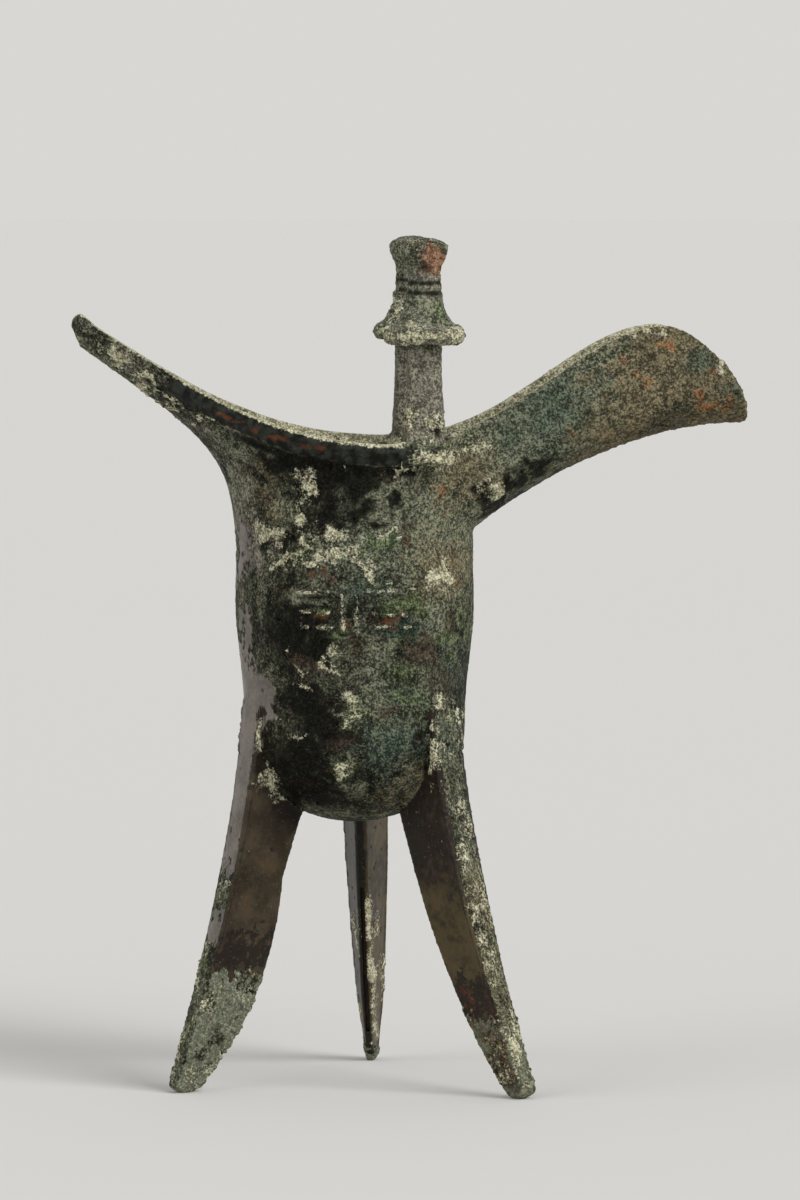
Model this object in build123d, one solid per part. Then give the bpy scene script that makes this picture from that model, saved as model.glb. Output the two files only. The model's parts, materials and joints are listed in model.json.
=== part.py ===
from build123d import *
import math
import os

# A cast bronze jue: a round-bottomed wine beaker on three blade legs, with a pouring spout,
# a pointed tail, two capped posts on the rim and a strap handle.
# Millimetres, +Z up. While it is modelled, the cup's axis is X = Y = 0 and the feet stand on
# Z = 0, with the spout along +X and the handle on the +Y side.
# At the end everything moves together, so that the origin is the bottom centre of the whole.

# Cup: radii and heights of the outer wall, from the round bottom up to the neck
WALL = 2.2
CUP_BOTTOM_Z = 64.5
CUP_BASE_Z = 87.0
CUP_BASE_R = 26.8
CUP_BELLY_Z = 119.0
CUP_BELLY_R = 29.1
NECK_Z = 132.0
NECK_R = 28.8

# Mouth: the lip turns out on the sides, and the wall leans out steadily and narrows to the tail
LIP_OUT = 6.4
LIP_Z = 156.0
LIP_SOFTNESS = 7.0
TAIL_LEAN = 1.50
TAIL_BEND_Z = 155.0
TAIL_SOFTNESS = 11.5
TAIL_NARROWING_Z = 160.0
TAIL_NARROWING_SOFTNESS = 14.0
MOUTH_SIDE_POWER = 3
MOUTH_LEVELS = 13

# Rim in side view
RIM_LOW_X = 9.0
RIM_LOW_Z = 157.8
RIM_LOW_TAIL_PULL = 0.40
RIM_LOW_SPOUT_PULL = 0.44
TAIL_TIP_X = -69.0
TAIL_TIP_Z = 187.6
TAIL_EDGE_RUN = 25.0
TAIL_EDGE_DROP = 15.5
TAIL_TIP_R = 2.4
TAIL_TIP_PLAN_R = 5.2
TAIL_TIP_DEPTH = 9.0
TAIL_TIP_UNDERCUT = 3.2
RIM_SHOULDER_SLOPE = 0.1
SPOUT_CREST_X = 74.5
SPOUT_CREST_Z = 185.6
SPOUT_CREST_PULL = 0.30
SPOUT_LIP_X = 95.6
SPOUT_LIP_Z = 162.0
SPOUT_END_ROUNDNESS = 0.40

# Spout: a U-shaped channel whose keel rises from the cup wall and levels out at the lip
SPOUT_ROOT_X = 29.0
SPOUT_ROOT_Z = 136.3
SPOUT_CURL = 1.95
SPOUT_ROOT_HALF_WIDTH = 17.2
SPOUT_HALF_WIDTH = 13.4
SPOUT_BOWL = 13.0
SPOUT_WIDENING_POWER = 4
SPOUT_STATIONS = 6

# Joints of the spout and the tail with the cup: leaning planes that start at the keel
TAIL_JOINT_Z = 138.0
SPOUT_JOINT_SETBACK = 1.5
JOINT_LEAN = 16.0

# Posts on the rim, and the tenon on top of each
POST_X = 15.5
POST_Y = 25.2
POST_LENGTH_X = 8.3
POST_DEPTH_Y = 7.2
POST_FOOT_SPREAD = 2.6
POST_FOOT_DROP = 5.0
POST_TAPER_HEIGHT = 0.3
POST_TAPER_LEFT = 0.25
POST_TOP_Z = 181.7
POST_CORNER_R = 1.6
TENON_R = 2.7
TENON_H = 5.0

# Caps on the posts
CAP_H = 25.4
CAP_BRIM_R = 9.6
CAP_BRIM_EDGE = 1.0
CAP_BRIM_MIDDLE_H = 2.1
CAP_BRIM_TOP_H = 3.9
CAP_SLOPE_PULL = 0.35
CAP_NECK_R = 4.5
CAP_NECK_H = 10.4
CAP_WAIST_R = 4.0
CAP_WAIST_H = 18.0
CAP_TOP_R = 5.6
CAP_TOP_H = 22.8
CAP_TOP_FLARE = 0.1
CAP_GROOVE_DEPTH = 0.5
CAP_GROOVE_WIDTH = 1.2
CAP_GROOVE_HEIGHTS = (12.2, 14.6)

# Legs: radii are from the cup's axis
LEG_ANGLES = {"rear": 82.0, "left": 199.0, "right": 321.0}
LEG_FOOT_R = {"rear": 50.0, "left": 48.5, "right": 53.0}
LEG_ROOT_RISE = 8.0
LEG_ROOT_Z = CUP_BASE_Z + LEG_ROOT_RISE
LEG_ROOT_PROUD = 0.4
LEG_CURVE = 1.5
LEG_TOE_R = 2.4
LEG_FOOT_DEPTH = 6.0
LEG_HEEL_R = 19.3
LEG_HEEL_Z = 51.5
LEG_HEEL_LEAN = 18.0
LEG_INNER_BULGE = {"rear": 3.3, "left": 5.2, "right": 2.6}
LEG_WIDTH = 12.0
LEG_FULL_WIDTH_Z = 60.0
LEG_FOOT_WIDTH = 5.4
LEG_STRIP_DEPTH = 1.0
LEG_STRIP_STEP = 0.5
LEG_EDGE_WIDTH = 2.6
LEG_SLOT_WIDTH = 1.0
LEG_SLOT_DEPTH = 4.0
LEG_SLOT_TOP_Z = 46.0
LEG_SLOT_BOTTOM_Z = 5.0
LEG_CORE_RECESS = 1.2
LEG_CORE_BOTTOM_Z = 8.0
LEG_SIDE_STATIONS = 4
LEG_STATIONS = 5

# Handle, above the rear leg
HANDLE_TOP_Z = 143.0
HANDLE_BOTTOM_Z = 100.0
HANDLE_REACH = 21.0
HANDLE_WIDTH = 10.5
HANDLE_THICKNESS = 4.6
HANDLE_EDGE_R = 1.4
HANDLE_TENON_R = 1.8
HANDLE_BOW_HEIGHT = 0.55
HANDLE_BOW_PULL = 0.62

# Bronze plates that held the casting core off the mould, set in the cup wall
SPACER_SIZE = 5.0
SPACER_Z = 98.0
SPACER_TURN = 60.0

# Construction allowances
OVERRUN = 6.0
BEYOND = 3 * NECK_R
QUARTER_ARC = 4.0 / 3.0 * (math.sqrt(2.0) - 1.0)


def blend(a, b, t):
    """The value a fraction t of the way from a to b."""
    return a + (b - a) * t


def quarter(start, end, corner, pull=QUARTER_ARC, end_pull=None):
    """A curve from start to end that leaves and arrives along the sides of the corner."""
    start, end, corner = Vector(start), Vector(end), Vector(corner)
    end_pull = pull if end_pull is None else end_pull
    return Bezier(start, blend(start, corner, pull), blend(end, corner, end_pull), end)


def slab(outline, half_thickness):
    """The solid between two planes either side of a flat XZ outline."""
    return extrude(make_face(outline), half_thickness, dir=(0, 1, 0), both=True)


def turned(shape, azimuth):
    """The shape turned about the cup's axis."""
    return Rot(0, 0, azimuth) * shape


# Cup and mouth

def cup_wall_radius(z):
    """Outer radius of the wall between the round bottom and the belly."""
    return blend(CUP_BASE_R, CUP_BELLY_R, (z - CUP_BASE_Z) / (CUP_BELLY_Z - CUP_BASE_Z))


def beaker(inset):
    """The cup as a filled body, from its bottom to the neck, with its wall moved in by inset."""
    base, belly, neck = CUP_BASE_R - inset, CUP_BELLY_R - inset, NECK_R - inset
    bottom = (0, 0, CUP_BOTTOM_Z + inset)
    shoulder = (base, 0, CUP_BASE_Z)
    wall = Spline(
        shoulder,
        (belly, 0, CUP_BELLY_Z),
        (neck, 0, NECK_Z),
        tangents=[(0, 0, 1), (0, 0, 1)],
    )
    outline = [
        quarter(bottom, shoulder, (base, 0, CUP_BOTTOM_Z + inset)),
        wall,
        Line((neck, 0, NECK_Z), (0, 0, NECK_Z)),
        Line((0, 0, NECK_Z), bottom),
    ]
    return revolve(make_face(outline), Axis.Z)


def turn_out(z, middle_z, softness):
    """How far a bend has turned at a height, from 0 well below its middle to 1 well above it."""
    rise = z - middle_z
    return (1 + rise / math.hypot(rise, softness)) / 2


def growth_above_neck(z, middle_z, softness):
    """The same bend counted from the neck, so that it is 0 there."""
    return turn_out(z, middle_z, softness) - turn_out(NECK_Z, middle_z, softness)


def side_reach(z, inset):
    """Half width of the mouth at a height, with the wall moved in square to itself by inset."""
    growth = growth_above_neck(z, LIP_Z, LIP_SOFTNESS)
    lean = LIP_OUT * LIP_SOFTNESS**2 / math.hypot(z - LIP_Z, LIP_SOFTNESS) ** 3 / 2
    return NECK_R + LIP_OUT * growth - inset * math.hypot(1, lean)


def tail_reach(z, inset):
    """Distance of the tail's keel from the axis at a height, moved in square to itself by inset."""
    travel = [
        (height - TAIL_BEND_Z + math.hypot(height - TAIL_BEND_Z, TAIL_SOFTNESS)) / 2
        for height in (NECK_Z, z)
    ]
    lean = TAIL_LEAN * turn_out(z, TAIL_BEND_Z, TAIL_SOFTNESS)
    return NECK_R + TAIL_LEAN * (travel[1] - travel[0]) - inset * math.hypot(1, lean)


def neck_ring(radius):
    """The round section at the neck, in four quarters like the sections above it."""
    return Wire([CenterArc((0, 0, NECK_Z), radius, -90 * turn, -90) for turn in range(4)])


def mouth(inset):
    """The mouth as a filled body: round at the neck, and drawn out to a point at the tail."""
    top_z = max(TAIL_TIP_Z, SPOUT_CREST_Z) + OVERRUN
    front = NECK_R - inset
    sections = [neck_ring(front)]
    for level in range(1, MOUTH_LEVELS):
        share = level / (MOUTH_LEVELS - 1)
        z = blend(NECK_Z, top_z, share)
        side = side_reach(z, inset)
        tail = tail_reach(z, inset)
        narrowing = growth_above_neck(z, TAIL_NARROWING_Z, TAIL_NARROWING_SOFTNESS)
        side_pull = QUARTER_ARC * (1 - share**MOUTH_SIDE_POWER)
        tip_pull = QUARTER_ARC * (1 - narrowing)
        fore, near, back, far = (front, 0, z), (0, -side, z), (-tail, 0, z), (0, side, z)
        sections.append(
            Wire(
                [
                    quarter(fore, near, (front, -side, z)),
                    quarter(near, back, (-tail, -side, z), side_pull, tip_pull),
                    quarter(back, far, (-tail, side, z), tip_pull, side_pull),
                    quarter(far, fore, (front, side, z)),
                ]
            )
        )
    return Solid.make_loft(sections)


# Spout

def spout_share(x):
    """How far a place is from the lip, where the root on the cup wall is 1."""
    return (SPOUT_LIP_X - x) / (SPOUT_LIP_X - SPOUT_ROOT_X)


def spout_channel(inset):
    """The spout as a filled body with its wall moved in by inset, from inside the cup to past the lip."""
    start_x = SPOUT_ROOT_X - 2 * OVERRUN
    end_x = SPOUT_LIP_X
    top_z = SPOUT_CREST_Z + OVERRUN
    sections = []
    for station in range(SPOUT_STATIONS):
        x = blend(start_x, end_x, station / (SPOUT_STATIONS - 1))
        share = spout_share(x)
        climb = SPOUT_LIP_Z - SPOUT_ROOT_Z
        slope = climb * SPOUT_CURL * share ** (SPOUT_CURL - 1) / (SPOUT_LIP_X - SPOUT_ROOT_X)
        keel_z = SPOUT_LIP_Z - climb * share**SPOUT_CURL + inset * math.hypot(1, slope)
        widening = share**SPOUT_WIDENING_POWER
        half = blend(SPOUT_HALF_WIDTH, SPOUT_ROOT_HALF_WIDTH, widening) - inset
        spring_z = keel_z + SPOUT_BOWL
        keel = (x, 0, keel_z)
        near, far = (x, -half, spring_z), (x, half, spring_z)
        near_top, far_top = (x, -half, top_z), (x, half, top_z)
        sections.append(
            Wire(
                [
                    Line(near_top, near),
                    quarter(near, keel, (x, -half, keel_z)),
                    quarter(keel, far, (x, half, keel_z)),
                    Line(far, far_top),
                    Line(far_top, near_top),
                ]
            )
        )
    return Solid.make_loft(sections)


def under_rim(rising):
    """What stays under the rim: down from the tail tip, then up and over the spout if rising."""
    tip = Vector(TAIL_TIP_X, 0, TAIL_TIP_Z)
    tip_top = tip + Vector(TAIL_TIP_R, 0, 0)
    tip_side = tip - Vector(0, 0, TAIL_TIP_R)
    low = Vector(RIM_LOW_X, 0, RIM_LOW_Z)
    crest = Vector(SPOUT_CREST_X, 0, SPOUT_CREST_Z)
    lip = Vector(SPOUT_LIP_X, 0, SPOUT_LIP_Z)
    tail_run = Vector(low.X - tip.X, 0, 0)
    spout_run = Vector(crest.X - low.X, 0, 0)
    edge_start = tip_top + Vector(TAIL_EDGE_RUN, 0, -TAIL_EDGE_DROP)
    outline = [
        quarter(tip_side, tip_top, tip),
        Bezier(tip_top, edge_start, low - tail_run * RIM_LOW_TAIL_PULL, low),
    ]
    if rising:
        end = lip
        rise_start = low + spout_run * RIM_LOW_SPOUT_PULL
        rise_end = crest - spout_run * SPOUT_CREST_PULL
        outline.append(Bezier(low, rise_start, rise_end, crest))
        outline.append(quarter(crest, lip, (lip.X, 0, crest.Z), SPOUT_END_ROUNDNESS))
    else:
        end = Vector(lip.X, 0, low.Z + RIM_SHOULDER_SLOPE * (lip.X - low.X))
        outline.append(Line(low, end))
    undercut = tip + Vector(TAIL_TIP_UNDERCUT, 0, -TAIL_TIP_DEPTH)
    outline.append(Polyline(end, (lip.X, 0, 0), (undercut.X, 0, 0), undercut, tip_side))
    return slab(outline, BEYOND)


def tail_plan(inset):
    """Plan of the vessel's extent: open everywhere but round the nose of the tail."""
    nose_x = TAIL_TIP_X + TAIL_TIP_PLAN_R
    nose_r = TAIL_TIP_PLAN_R - inset
    near, far = (nose_x, -nose_r), (nose_x, nose_r)
    nose = ThreePointArc(near, (nose_x - nose_r, 0), far)
    front = [(SPOUT_LIP_X, BEYOND), (SPOUT_LIP_X, -BEYOND)]
    rest = Polyline(far, (0, BEYOND), *front, (0, -BEYOND), near)
    return extrude(make_face([nose, rest]), TAIL_TIP_Z + OVERRUN)


def joint_plane(keel_x, keel_z):
    """A plane through a place on the keel, facing outwards, that leans in to the axis as it rises."""
    lean = math.radians(JOINT_LEAN)
    outward = math.copysign(1, keel_x)
    facing = (outward * math.cos(lean), 0, math.sin(lean))
    return Plane((keel_x, 0, keel_z), x_dir=(0, 1, 0), z_dir=facing)


# Posts and caps

def post(side):
    """A post with a foot set in a notch of the rim, and a tenon for its cap; side is -1 near, 1 far."""
    sections = []
    for z, spread in (
        (RIM_LOW_Z - POST_FOOT_DROP, POST_FOOT_SPREAD),
        (blend(RIM_LOW_Z, POST_TOP_Z, POST_TAPER_HEIGHT), POST_FOOT_SPREAD * POST_TAPER_LEFT),
        (POST_TOP_Z, 0),
    ):
        outline = RectangleRounded(POST_LENGTH_X + spread, POST_DEPTH_Y + spread, POST_CORNER_R)
        sections.append(Pos(POST_X, side * POST_Y, z) * outline)
    stem = loft(sections)
    tenon = Pos(POST_X, side * POST_Y, POST_TOP_Z) * Cylinder(
        TENON_R, TENON_H, align=(Align.CENTER, Align.CENTER, Align.MIN)
    )
    return stem + tenon


def cap_core(side):
    """The clay core inside a cap, standing on the post's tenon."""
    height = CAP_TOP_H - TENON_H
    return Pos(POST_X, side * POST_Y, POST_TOP_Z + TENON_H) * Cylinder(
        TENON_R, height, align=(Align.CENTER, Align.CENTER, Align.MIN)
    )


def cap(side):
    """A hat-shaped cap: a wide brim, a grooved neck and a flared top, hollow for tenon and core."""
    brim_low = (CAP_BRIM_R - CAP_BRIM_EDGE, 0, 0)
    brim_mid = (CAP_BRIM_R, 0, CAP_BRIM_MIDDLE_H)
    brim_top = (CAP_BRIM_R - CAP_BRIM_EDGE, 0, CAP_BRIM_TOP_H)
    neck = (CAP_NECK_R, 0, CAP_NECK_H)
    waist = (CAP_WAIST_R, 0, CAP_WAIST_H)
    crown_edge = (CAP_TOP_R, 0, CAP_TOP_H)
    crown = (0, 0, CAP_H)
    outline = [
        Line((0, 0, 0), brim_low),
        ThreePointArc(brim_low, brim_mid, brim_top),
        quarter(brim_top, neck, (CAP_NECK_R, 0, CAP_BRIM_TOP_H), CAP_SLOPE_PULL),
        Spline(neck, waist, crown_edge, tangents=[(0, 0, 1), (CAP_TOP_FLARE, 0, 1)]),
        quarter(crown_edge, crown, (CAP_TOP_R, 0, CAP_H)),
        Line(crown, (0, 0, 0)),
    ]
    body = revolve(make_face(outline), Axis.Z)
    for height in CAP_GROOVE_HEIGHTS:
        ring = Circle(2 * CAP_NECK_R) - Circle(CAP_NECK_R - CAP_GROOVE_DEPTH)
        body -= Pos(0, 0, height) * extrude(ring, CAP_GROOVE_WIDTH)
    body = Pos(POST_X, side * POST_Y, POST_TOP_Z) * body
    return body - post(side) - cap_core(side)


# Legs, in the plane of the leg: X is the distance from the cup's axis

def leg_outer(name, z):
    """Distance of the leg's outer face from the cup's axis."""
    root = cup_wall_radius(LEG_ROOT_Z) + LEG_ROOT_PROUD
    share = (LEG_ROOT_Z - z) / LEG_ROOT_Z
    return root + (LEG_FOOT_R[name] - root) * share**LEG_CURVE


def leg_inner_edge(name, shift):
    """The leg's inner edge from foot to heel, moved outwards by shift."""
    foot = Vector(LEG_FOOT_R[name] - LEG_FOOT_DEPTH + shift, 0, 0)
    heel = Vector(LEG_HEEL_R + shift, 0, LEG_HEEL_Z)
    along = (heel - foot).normalized()
    inward = Vector(-along.Z, 0, along.X)
    return ThreePointArc(foot, blend(foot, heel, 0.5) + inward * LEG_INNER_BULGE[name], heel)


def leg_inner(name, z):
    """Distance of the leg's inner edge from the cup's axis, near enough to shape its section."""
    if z > LEG_HEEL_Z:
        return LEG_HEEL_R - (z - LEG_HEEL_Z) * math.tan(math.radians(LEG_HEEL_LEAN))
    share = z / LEG_HEEL_Z
    bulge = 4 * share * (1 - share) * LEG_INNER_BULGE[name]
    return blend(LEG_FOOT_R[name] - LEG_FOOT_DEPTH, LEG_HEEL_R, share) - bulge


def leg_side_view(name):
    """Side view of the leg: foot, inner edge, heel, and on up into the cup's round bottom."""
    edge = leg_inner_edge(name, 0)
    foot, heel = edge @ 0, edge @ 1
    top = Vector(leg_inner(name, CUP_BASE_Z), 0, CUP_BASE_Z)
    heights = [blend(LEG_ROOT_Z, LEG_TOE_R, n / LEG_SIDE_STATIONS) for n in range(LEG_SIDE_STATIONS + 1)]
    outer = [(leg_outer(name, z), 0, z) for z in heights]
    corners = [heel, top, (top.X, 0, LEG_ROOT_Z), outer[0]]
    toe_x = outer[-1][0]
    sole = Vector(toe_x - LEG_TOE_R, 0, 0)
    toe = quarter(outer[-1], sole, (toe_x, 0, 0))
    face = make_face([edge, Polyline(*corners), Spline(*outer), toe, Line(sole, foot)])
    sector = 2 * math.degrees(math.atan(LEG_WIDTH / LEG_HEEL_R))
    return turned(revolve(face, Axis.Z, sector), -sector / 2)


def leg_slot(name, shift):
    """The narrow slot along the leg's inner edge; shift leaves its mouth open that deep."""
    inner, outer = leg_inner_edge(name, shift), leg_inner_edge(name, LEG_SLOT_DEPTH)
    ends = [Line(inner @ 0, outer @ 0), Line(inner @ 1, outer @ 1)]
    strip = slab([inner, outer, *ends], LEG_SLOT_WIDTH / 2)
    below_top = split(strip, Plane((0, 0, LEG_SLOT_TOP_Z)), keep=Keep.BOTTOM)
    return split(below_top, Plane((0, 0, LEG_SLOT_BOTTOM_Z)), keep=Keep.TOP)


def leg(name):
    """A blade leg in its own plane: an outer strip with a wedge behind it, thin at the inner edge."""
    sections = []
    for station in range(LEG_STATIONS):
        z = LEG_ROOT_Z * station / (LEG_STATIONS - 1)
        strip = blend(LEG_FOOT_WIDTH, LEG_WIDTH, min(1, z / LEG_FULL_WIDTH_Z)) / 2
        outer_x = leg_outer(name, z)
        step_x = outer_x - LEG_STRIP_DEPTH
        web_x = step_x - LEG_STRIP_STEP
        inner_x = leg_inner(name, z)
        half = [
            (outer_x + OVERRUN, strip),
            (step_x, strip),
            (web_x, strip - LEG_STRIP_STEP),
            (inner_x, LEG_EDGE_WIDTH / 2),
            (inner_x - OVERRUN, LEG_EDGE_WIDTH / 2),
        ]
        mirrored = [(x, -y) for x, y in reversed(half)]
        points = [(x, y, z) for x, y in half + mirrored]
        sections.append(Wire(Polyline(*points, close=True).edges()))
    return Solid.make_loft(sections) & leg_side_view(name)


# Handle, in its own plane: X is the distance from the cup's axis

def handle_loop():
    """A plain strap, bowed out from the wall and back, wide across and rounded along its edges."""
    outer_x = CUP_BELLY_R + HANDLE_REACH
    wall_x = CUP_BELLY_R - WALL - OVERRUN
    loops = []
    for cut in (0, HANDLE_THICKNESS):
        top_z, bottom_z, bow_x = HANDLE_TOP_Z - cut, HANDLE_BOTTOM_Z + cut, outer_x - cut
        bow = (bow_x, 0, blend(bottom_z, top_z, HANDLE_BOW_HEIGHT))
        low, high = (CUP_BELLY_R, 0, bottom_z), (CUP_BELLY_R, 0, top_z)
        outline = [
            quarter(low, bow, (bow_x, 0, bottom_z), HANDLE_BOW_PULL),
            quarter(bow, high, (bow_x, 0, top_z), HANDLE_BOW_PULL),
            Polyline(high, (wall_x, 0, top_z), (wall_x, 0, bottom_z), low),
        ]
        loops.append(slab(outline, HANDLE_WIDTH / 2 + (OVERRUN if cut else 0)))
    strap = loops[0] - loops[1]
    long_edges = [edge for edge in strap.edges() if edge.center().X > CUP_BELLY_R + HANDLE_EDGE_R]
    return fillet(long_edges, HANDLE_EDGE_R)


def handle_tenons():
    """Round tenons at the two ends of the strap, long enough to pass right through the cup wall."""
    pair = []
    for z in (HANDLE_TOP_Z - HANDLE_THICKNESS / 2, HANDLE_BOTTOM_Z + HANDLE_THICKNESS / 2):
        pair.append(Pos(CUP_BELLY_R, 0, z) * Rot(0, 90, 0) * Cylinder(HANDLE_TENON_R, 2 * OVERRUN))
    return pair[0] + pair[1]


def spacer_prisms():
    """Square prisms through the cup wall, one between each two legs and one in the bottom."""
    bar = Box(2 * OVERRUN, SPACER_SIZE, SPACER_SIZE)
    prisms = [Pos(0, 0, CUP_BOTTOM_Z) * Box(SPACER_SIZE, SPACER_SIZE, 2 * OVERRUN)]
    for azimuth in LEG_ANGLES.values():
        prisms.append(turned(Pos(cup_wall_radius(SPACER_Z), 0, SPACER_Z) * bar, azimuth + SPACER_TURN))
    return prisms


# Put together

def vessel_parts():
    """Every piece in its place, by node name."""
    cup_body = beaker(0) + mouth(0)
    hollow = beaker(WALL) + (mouth(WALL) & tail_plan(WALL)) + spout_channel(WALL)
    shell = (cup_body & under_rim(False) & tail_plan(0)) + (spout_channel(0) & under_rim(True)) - hollow

    tail_plane = joint_plane(-tail_reach(TAIL_JOINT_Z, 0), TAIL_JOINT_Z)
    spout_plane = joint_plane(SPOUT_ROOT_X + SPOUT_JOINT_SETBACK, SPOUT_ROOT_Z)
    tail = split(shell, tail_plane, keep=Keep.TOP)
    spout = split(shell, spout_plane, keep=Keep.TOP)
    cup = split(split(shell, tail_plane, keep=Keep.BOTTOM), spout_plane, keep=Keep.BOTTOM)

    handle_azimuth = LEG_ANGLES["rear"]
    tenons = turned(handle_tenons(), handle_azimuth)
    handle = (turned(handle_loop(), handle_azimuth) - cup_body) + (tenons & cup)
    spacers = [prism & cup for prism in spacer_prisms()]

    parts = {"tail": tail, "spout": spout, "handle": handle}
    parts["core_spacers"] = Compound(children=[spacer.solid() for spacer in spacers])
    for name, azimuth in LEG_ANGLES.items():
        blade = leg(name) - leg_slot(name, -OVERRUN)
        parts[name + "_leg"] = turned(blade, azimuth) - cup_body
        clay = split(leg_slot(name, LEG_CORE_RECESS), Plane((0, 0, LEG_CORE_BOTTOM_Z)), keep=Keep.TOP)
        parts[name + "_leg_core"] = turned(clay, azimuth)
    for name, side in (("near", -1), ("far", 1)):
        parts[name + "_post"] = post(side)
        cup -= post(side)
        parts[name + "_post_cap"] = cap(side)
        parts[name + "_cap_core"] = cap_core(side)
    cup -= tenons
    for prism in spacer_prisms():
        cup -= prism
    parts["cup"] = cup
    return parts


def main():
    parts = vessel_parts()
    box = Compound(children=[part.solids()[0] for part in parts.values()]).bounding_box()
    to_origin = Pos(-box.center().X, -box.center().Y, -box.min.Z)
    os.makedirs("parts", exist_ok=True)
    for name, part in parts.items():
        solids = [to_origin * solid for solid in part.solids()]
        print(name, len(solids), [round(solid.volume, 1) for solid in solids])
        placed = solids[0] if len(solids) == 1 else Compound(children=solids)
        export_step(placed, f"parts/{name}.step")
    print("cup axis at", round(-box.center().X, 3), round(-box.center().Y, 3))
    print("size", box.size)


main()
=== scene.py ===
import json
import math

import bpy
import numpy as np
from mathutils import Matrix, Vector, noise

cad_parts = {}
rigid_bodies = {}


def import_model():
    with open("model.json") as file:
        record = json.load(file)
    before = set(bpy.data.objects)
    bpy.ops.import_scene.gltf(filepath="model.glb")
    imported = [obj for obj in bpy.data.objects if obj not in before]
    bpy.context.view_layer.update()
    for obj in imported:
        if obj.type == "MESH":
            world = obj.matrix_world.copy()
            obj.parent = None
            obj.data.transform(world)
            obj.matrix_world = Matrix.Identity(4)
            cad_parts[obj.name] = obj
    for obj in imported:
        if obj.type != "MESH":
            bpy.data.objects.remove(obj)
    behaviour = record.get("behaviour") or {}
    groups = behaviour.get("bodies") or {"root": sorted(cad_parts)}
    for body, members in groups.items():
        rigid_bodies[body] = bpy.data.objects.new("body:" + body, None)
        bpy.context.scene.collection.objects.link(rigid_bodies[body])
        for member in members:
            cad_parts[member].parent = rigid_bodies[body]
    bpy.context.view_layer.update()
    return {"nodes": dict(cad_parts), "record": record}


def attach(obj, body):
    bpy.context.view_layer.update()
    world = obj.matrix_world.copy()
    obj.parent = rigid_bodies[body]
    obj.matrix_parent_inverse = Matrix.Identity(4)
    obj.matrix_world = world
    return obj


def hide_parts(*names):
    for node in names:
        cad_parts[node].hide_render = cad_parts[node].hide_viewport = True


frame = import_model()

# Sizes are in millimetres from the cup's axis and the table, as on a drawing; MM turns them to metres
MM = 0.001
AXIS = Vector((-13.3, -7.639, 0.0))

# Mesh fineness: voxel sizes, rounds of smoothing, the cup's triangles, and the angle that stays sharp
SKIN_VOXEL = 0.5
CAP_VOXEL = 0.3
CLAY_VOXEL = 0.25
SKIN_ROUNDS = 8
CAP_ROUNDS = 4
CLAY_ROUNDS = 3
CUP_TRIANGLES = 185000
SHARP_ANGLE = 60.0

# The cup's round bottom, the joints of tail and spout, and the places of legs, posts and spacers
DOME_Z = 87.0
DOME_R = 26.8
DOME_DEPTH = 22.5
WALL_TOP = (27.7, 100.0)
JOINT_LEAN = 16.0
TAIL_JOINT = (-29.4, 138.0)
SPOUT_JOINT = (30.5, 136.3)
LEG_ANGLES = {"rear": 82.0, "left": 199.0, "right": 321.0}
LEG_FOOT_R = {"rear": 50.0, "left": 48.5, "right": 53.0}
LEG_ROOT = (27.8, 95.0)
LEG_CURVE = 1.5
SEAM_LIFT = 0.5
SLOT_FILL_SHIFT = 1.1
SLOT_CUT_SHIFT = 1.6
POST_X = 15.5
POST_Y = 25.2
SPACER_Z = 98.0
SPACER_SIZE = 5.0
SPACER_TURN = 60.0
SPACER_GAP = 0.06
SPACER_REACH = 6.0
SPACER_BOTTOM = (58.0, 71.0)

# Cutting blocks that part the pieces from the cup: low and high corners, before they are turned into place
TAIL_BLOCK = ((0, -40, -60), (80, 40, 6))
SPOUT_BLOCK = ((0, -19.5, -6), (80, 19.5, 60))
HANDLE_BLOCK = ((29.5, -8, 97), (80, 8, 147))
POST_BLOCK = ((-6.4, -6.3, 160.2), (6.2, 6.3, 191.7))
LEG_BLOCK = ((10, -7.8, -2), (62, 7.8, 91))


# Working with one object at a time

def pick(*pieces):
    """Select just these objects, the last of them active."""
    bpy.ops.object.select_all(action="DESELECT")
    for piece in pieces:
        piece.select_set(True)
        bpy.context.view_layer.objects.active = piece


def finish_with(piece, kind, **settings):
    """Add a modifier to a piece and apply it."""
    pick(piece)
    modifier = piece.modifiers.new(kind.lower(), kind)
    for name, value in settings.items():
        setattr(modifier, name, value)
    bpy.ops.object.modifier_apply(modifier=modifier.name)


def copy_of(node, name):
    """A copy of a CAD node's mesh as a new piece, with its loose triangles joined up."""
    piece = bpy.data.objects.new(name, frame["nodes"][node].data.copy())
    bpy.context.scene.collection.objects.link(piece)
    piece.data.materials.clear()
    pick(piece)
    bpy.ops.object.mode_set(mode="EDIT")
    bpy.ops.mesh.select_all(action="SELECT")
    bpy.ops.mesh.remove_doubles(threshold=1e-6)
    bpy.ops.object.mode_set(mode="OBJECT")
    return piece


def copy_of_piece(source, name):
    """A second object with its own mesh."""
    piece = bpy.data.objects.new(name, source.data.copy())
    bpy.context.scene.collection.objects.link(piece)
    return piece


def joined(pieces, name):
    """Several objects made one."""
    pick(*pieces)
    bpy.ops.object.join()
    whole = bpy.context.view_layer.objects.active
    whole.name = name
    return whole


def throw_away(*pieces):
    """Delete construction objects."""
    for piece in pieces:
        bpy.data.objects.remove(piece)


def block(name, low, high, turn=0.0, lean=0.0, at=(0.0, 0.0, 0.0)):
    """A cutting block between two corners, leant about Y and turned about Z, then moved to its place."""
    low, high = Vector(low), Vector(high)
    bpy.ops.mesh.primitive_cube_add(size=1)
    piece = bpy.context.view_layer.objects.active
    piece.name = name
    piece.scale = high - low
    piece.location = (high + low) / 2
    bpy.ops.object.transform_apply()
    piece.rotation_euler = (0, math.radians(lean), math.radians(turn))
    piece.location = Vector(at)
    bpy.ops.object.transform_apply()
    to_frame(piece)
    return piece


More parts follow.
